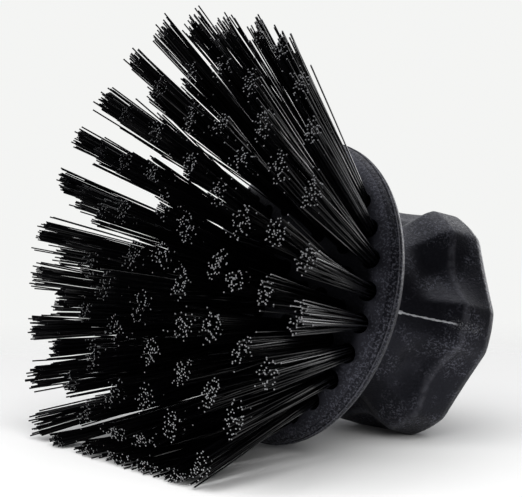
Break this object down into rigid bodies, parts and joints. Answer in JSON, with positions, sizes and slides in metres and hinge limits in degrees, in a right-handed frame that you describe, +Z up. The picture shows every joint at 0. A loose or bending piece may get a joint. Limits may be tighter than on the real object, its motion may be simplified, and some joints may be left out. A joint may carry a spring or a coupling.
{
  "type": "wheel brush",
  "caption": "Round wheel brush with a domed head of splayed stiff filament tufts and a six-lobed palm knob, lying on its side.",
  "frame": {"origin": "on the bench, under the middle of the object's box, as the brush lies on its side", "axes": "+Z up; +X across the brush, along its widest spread; the bristles point towards -Y, tipped up by 14.93 degrees, and the knob points towards +Y"},
  "size_m": [0.1556, 0.1316, 0.137],
  "materials": {
    "handle_plastic": "near-black moulded polypropylene, fine pebbled satin skin",
    "head_plastic": "near-black moulded polypropylene, satin",
    "filament": "extruded black filament, glossy sides and grey cut ends",
    "wire": "drawn stainless wire"
  },
  "bodies": {
    "root": {"handle": "handle_plastic", "head": "head_plastic", "draw_wire_outer": "wire", "draw_wire_second": "wire", "tuft_centre": "filament", "tuft_outer_01": "filament", "tuft_outer_02": "filament", "tuft_outer_03": "filament", "tuft_outer_04": "filament", "tuft_outer_05": "filament", "tuft_outer_06": "filament", "tuft_outer_07": "filament", "tuft_outer_08": "filament", "tuft_outer_09": "filament", "tuft_outer_10": "filament", "tuft_outer_11": "filament", "tuft_outer_12": "filament", "tuft_outer_13": "filament", "tuft_outer_14": "filament", "tuft_outer_15": "filament", "tuft_outer_16": "filament", "tuft_outer_17": "filament", "tuft_outer_18": "filament", "tuft_outer_19": "filament", "tuft_outer_20": "filament", "tuft_outer_21": "filament", "tuft_outer_22": "filament", "tuft_outer_23": "filament", "tuft_outer_24": "filament", "tuft_outer_25": "filament", "tuft_outer_26": "filament", "tuft_outer_27": "filament", "tuft_second_01": "filament", "tuft_second_02": "filament", "tuft_second_03": "filament", "tuft_second_04": "filament", "tuft_second_05": "filament", "tuft_second_06": "filament", "tuft_second_07": "filament", "tuft_second_08": "filament", "tuft_second_09": "filament", "tuft_second_10": "filament", "tuft_second_11": "filament", "tuft_second_12": "filament", "tuft_second_13": "filament", "tuft_second_14": "filament", "tuft_second_15": "filament", "tuft_second_16": "filament", "tuft_second_17": "filament", "tuft_second_18": "filament", "tuft_second_19": "filament", "tuft_second_20": "filament", "tuft_second_21": "filament", "tufts_fifth_ring": "filament", "tufts_fourth_ring": "filament", "tufts_third_ring": "filament"}
  },
  "joints": []
}
